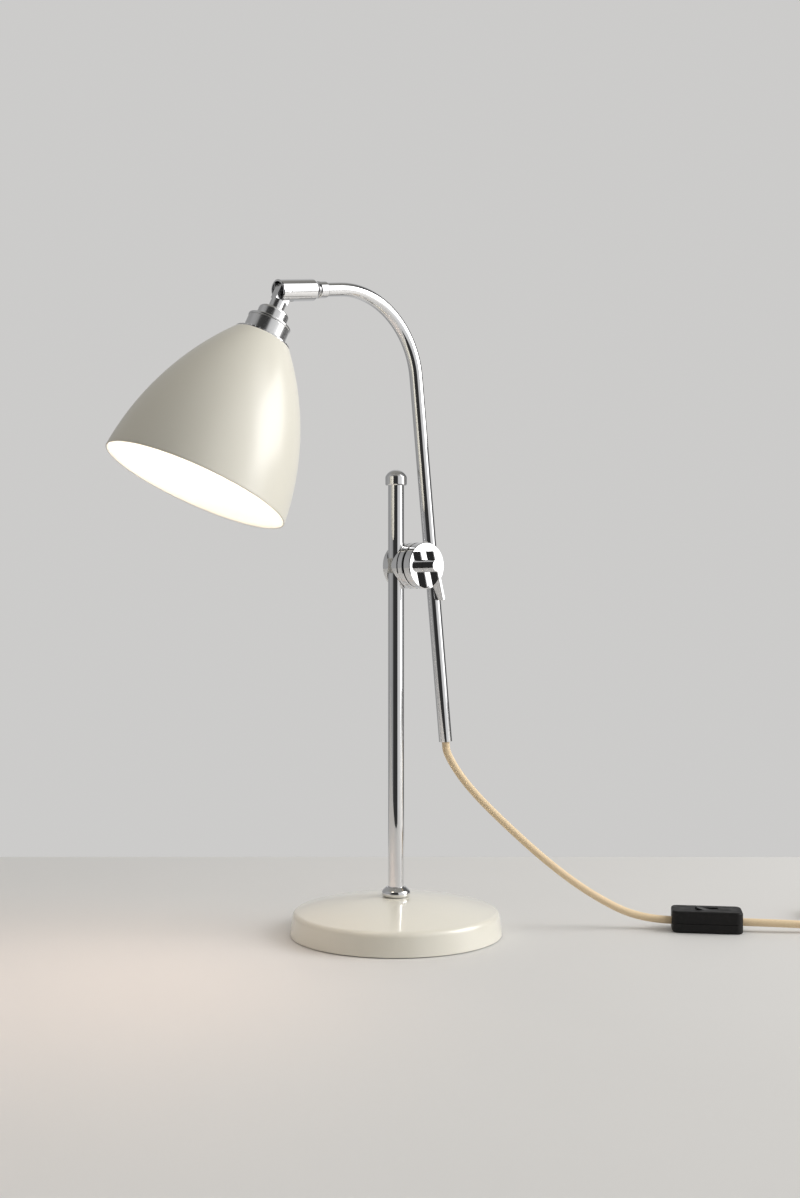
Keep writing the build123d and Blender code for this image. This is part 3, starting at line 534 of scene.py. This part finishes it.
FINISHES = {
    base_paint_painted_lighter: ["base_cover"],
    cast_iron: ["base_weight"],
    pad_rubber: ["base_pad"],
    chrome: [
        "post",
        "post_collar",
        "post_cap",
        "post_jaw_rear",
        "post_jaw_front",
        "arm_jaw_rear",
        "arm_jaw_front",
        "clamp_lever",
        "arm_tube",
        "arm_ferrule",
        "knuckle_sleeve",
    ],
    satin_chrome: ["stem", "holder_cap", "holder_body", "shade_ring"],
    steel: [
        "post_washer",
        "post_nut",
        "clamp_bolt",
        "swivel_washer",
        "sleeve_clip",
        "knuckle_pin",
        "switch_screws",
        "rocker_pin",
    ],
    bush_plastic: ["post_bush"],
    black_plastic: ["cord_bush", "switch_base", "switch_top", "coil_tie", "plug_body", "plug_relief"],
    rocker_plastic: ["switch_rocker"],
    socket_plastic: ["lamp_socket", "socket_ring"],
    bulb_shell: ["bulb_cap"],
    lit_bulb(): ["bulb_glass"],
    core_rubber: ["arm_flex"],
    pin_brass: ["plug_pins"],
}
for finish, names in FINISHES.items():
    for name in names:
        nodes[name].data.materials.clear()
        nodes[name].data.materials.append(finish)


# Shade: one wall spun about the shade's axis, painted outside and white inside


def bell_radius(distance, inset=0.0):
    """Radius of the bell at a distance below the knuckle pin, for a wall set in by an amount."""
    centre_radius, centre_distance = SHADE_BELL_CENTRE
    reach = SHADE_BELL_RADIUS - inset
    return centre_radius + math.sqrt(reach**2 - (distance - centre_distance) ** 2)


def shade_profile():
    """The wall's closed outline of (radius, distance) pairs: down outside, round the lip and up inside."""
    down = [SHADE_TOP + (SHADE_RIM - SHADE_TOP) * step / SHADE_STEPS for step in range(SHADE_STEPS + 1)]
    outside = [(bell_radius(distance), distance) for distance in down]
    lip = SHADE_WALL / 2
    lip_angles = [math.radians(180 * step / SHADE_LIP_STEPS) for step in range(SHADE_LIP_STEPS + 1)]
    rim = [
        (outside[-1][0] - lip * (1 - math.cos(angle)), SHADE_RIM - lip + lip * math.sin(angle))
        for angle in lip_angles
    ]
    lip_top = SHADE_RIM - lip
    outside[-1] = (bell_radius(lip_top), lip_top)
    inner_top = SHADE_TOP + SHADE_WALL
    up = [lip_top - (lip_top - inner_top) * step / SHADE_STEPS for step in range(SHADE_STEPS + 1)]
    inside = [(bell_radius(distance, SHADE_WALL), distance) for distance in up]
    hole_outside = (SHADE_HOLE_RADIUS, SHADE_TOP)
    hole_inside = (SHADE_HOLE_RADIUS, inner_top)
    return [hole_outside] + outside + rim[1:-1] + inside + [hole_inside]


def make_shade():
    """The bell shade, spun in edit mode and placed on its axis."""
    profile = shade_profile()
    mesh = bpy.data.meshes.new("shade_bell")
    corners = [(radius, 0, -distance) for radius, distance in profile]
    count = len(corners)
    mesh.from_pydata(corners, [(k, (k + 1) % count) for k in range(count)], [])
    shade = bpy.data.objects.new("shade_bell", mesh)
    bpy.context.scene.collection.objects.link(shade)
    make_active(shade)
    bpy.ops.object.mode_set(mode="EDIT")
    bpy.ops.mesh.select_all(action="SELECT")
    bpy.ops.mesh.spin(steps=SHADE_TURNS, angle=2 * math.pi, center=(0, 0, 0), axis=(0, 0, 1))
    bpy.ops.mesh.select_all(action="SELECT")
    bpy.ops.mesh.remove_doubles(threshold=SHADE_MERGE)
    bpy.ops.mesh.normals_make_consistent(inside=False)
    bpy.ops.object.mode_set(mode="OBJECT")
    mesh.materials.append(cream_paint)
    mesh.materials.append(shade_enamel)
    for face in mesh.polygons:
        outwards = Vector((face.center.x, face.center.y, 0)).dot(face.normal)
        face.material_index = 1 if outwards < 0 else 0
    turn = UP.rotation_difference(-SHADE_DOWN).to_matrix().to_4x4()
    mesh.transform(Matrix.Translation(SHADE_PIVOT) @ turn)
    bpy.ops.object.shade_smooth_by_angle(angle=SHADE_SMOOTH)
    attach(shade, "head")
    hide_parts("shade")
    return shade


def hang_bulb_glow(shade):
    """The warm light that the bulb throws down out of the shade, which goes where the shade goes."""
    data = bpy.data.lights.new("bulb_glow", "SPOT")
    data.energy = GLOW_WATTS
    data.color = GLOW_COLOUR
    data.spot_size = GLOW_SPREAD
    data.spot_blend = 1.0
    data.shadow_soft_size = GLOW_RADIUS
    glow = bpy.data.objects.new("bulb_glow", data)
    bpy.context.scene.collection.objects.link(glow)
    glow.location = SHADE_PIVOT + SHADE_DOWN * SHADE_RIM
    glow.rotation_euler = SHADE_DOWN.to_track_quat("-Z", "Y").to_euler()
    glow.visible_glossy = False
    glow.parent = shade


hang_bulb_glow(make_shade())


# Flex


def flex_line(points):
    """A smooth line through the flex's route, as closely spaced points."""
    data = bpy.data.curves.new("flex_route", "CURVE")
    data.dimensions = "3D"
    data.resolution_u = FLEX_CURVE_STEPS
    spline = data.splines.new("NURBS")
    spline.points.add(len(points) - 1)
    for slot, point in zip(spline.points, points):
        slot.co = (*point, 1)
    spline.order_u = FLEX_CURVE_ORDER
    spline.use_endpoint_u = True
    route = bpy.data.objects.new("flex_route", data)
    bpy.context.scene.collection.objects.link(route)
    bpy.context.view_layer.update()
    mesh = bpy.data.meshes.new_from_object(route.evaluated_get(bpy.context.evaluated_depsgraph_get()))
    line = [vertex.co.copy() for vertex in mesh.vertices]
    bpy.data.objects.remove(route)
    bpy.data.curves.remove(data)
    bpy.data.meshes.remove(mesh)
    return line


def line_lengths(line):
    """How far along a line each of its points lies."""
    lengths = [0.0]
    for before, after in zip(line, line[1:]):
        lengths.append(lengths[-1] + (after - before).length)
    return lengths


def flex_tube(name, line, came=0.0):
    """A round tube on a line, with a UV map: across the braid in turns, and along it in metres."""
    lengths = line_lengths(line)
    count = len(line)
    tangents = [(line[min(k + 1, count - 1)] - line[max(k - 1, 0)]).normalized() for k in range(count)]
    side = tangents[0].orthogonal().normalized()
    corners = []
    for k in range(count):
        if k:
            side = tangents[k - 1].rotation_difference(tangents[k]) @ side
        other = tangents[k].cross(side)
        for step in range(FLEX_SIDES):
            angle = 2 * math.pi * step / FLEX_SIDES
            corners.append(line[k] + (side * math.cos(angle) + other * math.sin(angle)) * FLEX_RADIUS)
    faces = []
    spots = []
    for k in range(count - 1):
        for step in range(FLEX_SIDES):
            after = (step + 1) % FLEX_SIDES
            first, second = k * FLEX_SIDES, (k + 1) * FLEX_SIDES
            faces.append((first + step, first + after, second + after, second + step))
            low, high = came + lengths[k], came + lengths[k + 1]
            near, far = step / FLEX_SIDES, (step + 1) / FLEX_SIDES
            spots += [(near, low), (far, low), (far, high), (near, high)]
    last = (count - 1) * FLEX_SIDES
    faces.append(tuple(reversed(range(FLEX_SIDES))))
    faces.append(tuple(range(last, last + FLEX_SIDES)))
    spots += [(0.0, came)] * FLEX_SIDES + [(0.0, came + lengths[-1])] * FLEX_SIDES
    mesh = bpy.data.meshes.new(name)
    mesh.from_pydata(corners, [], faces)
    layer = mesh.uv_layers.new(name="braid")
    layer.data.foreach_set("uv", [number for spot in spots for number in spot])
    mesh.materials.append(flex_textile)
    tube = bpy.data.objects.new(name, mesh)
    bpy.context.scene.collection.objects.link(tube)
    make_active(tube)
    bpy.ops.object.shade_smooth_by_angle(angle=FLEX_SMOOTH)
    return tube


# The free flex, in one stretch for each joint that carries its upper end about
FLEX_STRETCHES = [
    ("flex_at_arm", "arm_carrier", "arm_clamp", 0.038),
    ("flex_upper", "arm_clamp", "post_clamp", 0.042),
    ("flex_middle", "post_clamp", "clamp_carrier", 0.038),
    ("flex_lower", "clamp_carrier", "base", None),
]


def hang_free_flex():
    """The flex from the arm's lower end down to the switch."""
    tucked = ARM_LOW + ARM_UP * FLEX_TUCK
    hold_at_switch, switch_entry = [Vector(point) for point in FLEX_TO_SWITCH[-2:]]
    into_switch = switch_entry + (switch_entry - hold_at_switch) * FLEX_INTO_SWITCH
    line = flex_line([tucked] + FLEX_TO_SWITCH[:-1] + [into_switch])
    lengths = line_lengths(line)
    start = 0
    for name, upper, lower, wanted in FLEX_STRETCHES:
        end = len(line) - 1
        if wanted:
            end = next(k for k in range(start, len(line)) if lengths[k] - lengths[start] >= wanted)
        stretch = line[start : end + 1]
        tube = flex_tube(name, stretch, lengths[start])
        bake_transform(tube)
        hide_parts("cord_to_switch")
        start = end


def coil_spot(turn):
    """A control point of the coil, set out so that the line between runs at the coil's own radius."""
    angle = 2 * math.pi * turn - math.pi / 2
    radius = COIL_START_RADIUS - COIL_PITCH * (COIL_TURNS_IN - abs(COIL_TURNS_IN - turn))
    radius /= math.cos(math.pi / COIL_POINTS_PER_TURN)
    share = min(1.0, max(0.0, (turn - COIL_TURNS_IN) / COIL_CLIMB + 0.5))
    height = COIL_LAYER_HEIGHT + COIL_PITCH * (1 - math.cos(math.pi * share)) / 2
    return COIL_CENTRE + (RIGHTWARDS * math.cos(angle) + AWAY * math.sin(angle)) * radius + UP * height


def lay_coiled_flex():
    """The flex from the switch to its coil, round the coil and out to the plug."""
    steps = round(COIL_TURNS * COIL_POINTS_PER_TURN)
    turns = [coil_spot((step + 0.5) / COIL_POINTS_PER_TURN) for step in range(steps)]
    exit_radius = COIL_START_RADIUS - COIL_PITCH * (2 * COIL_TURNS_IN - COIL_TURNS)
    leaving = COIL_CENTRE + RIGHTWARDS * exit_radius
    tail = [leaving + AWAY * along + UP * height for along, height in TAIL_LINE]
    line = flex_line(FLEX_TO_COIL + turns + tail)
    tube = flex_tube("flex_coil", line)
    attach(tube, "base")
    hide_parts("cord_to_coil", "cord_coil")


hang_free_flex()
lay_coiled_flex()


# Stage


def table_top():
    """A pale floor that ends behind the lamp, in front of a plain backdrop."""
    deselect_all()
    bpy.ops.mesh.primitive_plane_add(size=1)
    table = bpy.context.object
    table.name = "table_top"
    depth = TABLE_FRONT + TABLE_BEHIND
    middle = AWAY * (TABLE_BEHIND - depth / 2)
    place = Matrix.Translation(middle) @ Matrix.Rotation(VIEW_TURN, 4, "Z")
    table.data.transform(place @ Matrix.Diagonal((2 * TABLE_SIDE, depth, 1, 1)))
    material = bpy.data.materials.new("table_paint")
    material.use_nodes = True
    tree = material.node_tree
    principled = tree.nodes["Principled BSDF"]
    where = add_node(tree, "ShaderNodeTexCoord")
    cloud = noise(tree, where.outputs["Object"], TABLE_CLOUD_SCALE)
    tree.links.new(mix_colours(tree, cloud, *TABLE_COLOURS), principled.inputs["Base Color"])
    principled.inputs["Roughness"].default_value = TABLE_ROUGHNESS
    principled.inputs["Specular IOR Level"].default_value = TABLE_SHINE
    table.data.materials.append(material)


def bearing_colours(tree, share, stops):
    """Colours round the room, for a share of the full turn."""
    ramp = add_node(tree, "ShaderNodeValToRGB", {"Fac": share})
    elements = ramp.color_ramp.elements
    while len(elements) < len(stops):
        elements.new(0.5)
    for element, (degrees, level, tint) in zip(elements, stops):
        element.position = (degrees + 180) / 360
        element.color = (*[level * part for part in tint], 1)
    return ramp.outputs["Color"]


def lean_towards(tree, where, direction):
    """How far each bearing of the room leans towards a direction."""
    links = {0: where, 1: tuple(direction)}
    return add_node(tree, "ShaderNodeVectorMath", links, operation="DOT_PRODUCT").outputs["Value"]


def studio_world():
    """Soft studio light from the right, less on the left and behind the camera, and a pale backdrop."""
    world = bpy.data.worlds.new("studio")
    bpy.context.scene.world = world
    world.use_nodes = True
    tree = world.node_tree
    background = tree.nodes["Background"]
    where = add_node(tree, "ShaderNodeTexCoord").outputs["Generated"]
    rightness = lean_towards(tree, where, RIGHTWARDS)
    nearness = lean_towards(tree, where, -AWAY)
    share = spread(tree, maths(tree, "ARCTAN2", rightness, nearness), (-math.pi, math.pi))
    light = bearing_colours(tree, share, LIGHT_ROUND_ROOM)
    mirrored = bearing_colours(tree, share, MIRRORED_ROUND_ROOM)
    light_path = add_node(tree, "ShaderNodeLightPath")
    height = add_node(tree, "ShaderNodeSeparateXYZ", {0: where}).outputs["Z"]
    ceiling = spread(tree, height, CEILING_SLOPES)
    lit_room = mix_colours(tree, ceiling, light, CEILING_LIGHT)
    mirrored_room = mix_colours(tree, ceiling, mirrored, CEILING_MIRRORED)
    room = mix_colours(tree, light_path.outputs["Is Glossy Ray"], lit_room, mirrored_room)
    rays = light_path.outputs
    straight = maths(tree, "MAXIMUM", rays["Is Camera Ray"], rays["Is Transmission Ray"])
    tree.links.new(mix_colours(tree, straight, room, BACKDROP), background.inputs["Color"])


def key_light():
    """A large soft lamp, high on the right."""
    data = bpy.data.lights.new("key_light", "AREA")
    data.shape = "RECTANGLE"
    data.size = KEY_WIDTH
    data.size_y = KEY_HEIGHT
    data.energy = KEY_WATTS
    data.color = KEY_COLOUR
    lamp = bpy.data.objects.new("key_light", data)
    bpy.context.scene.collection.objects.link(lamp)
    lamp.location = RIGHTWARDS * KEY_SIDE + UP * KEY_RISE
    lamp.rotation_euler = (KEY_AIM - lamp.location).to_track_quat("-Z", "Y").to_euler()


def set_camera():
    """A level camera at the photograph's viewing angle."""
    data = bpy.data.cameras.new("camera")
    data.lens = CAMERA_LENS
    data.sensor_width = CAMERA_SENSOR
    camera = bpy.data.objects.new("camera", data)
    bpy.context.scene.collection.objects.link(camera)
    camera.location = RIGHTWARDS * CAMERA_SIDE - AWAY * CAMERA_REACH + UP * CAMERA_HEIGHT
    camera.rotation_euler = (math.pi / 2, 0, VIEW_TURN)
    bpy.context.scene.camera = camera


table_top()
studio_world()
key_light()
set_camera()
bpy.context.scene.view_settings.view_transform = "Standard"
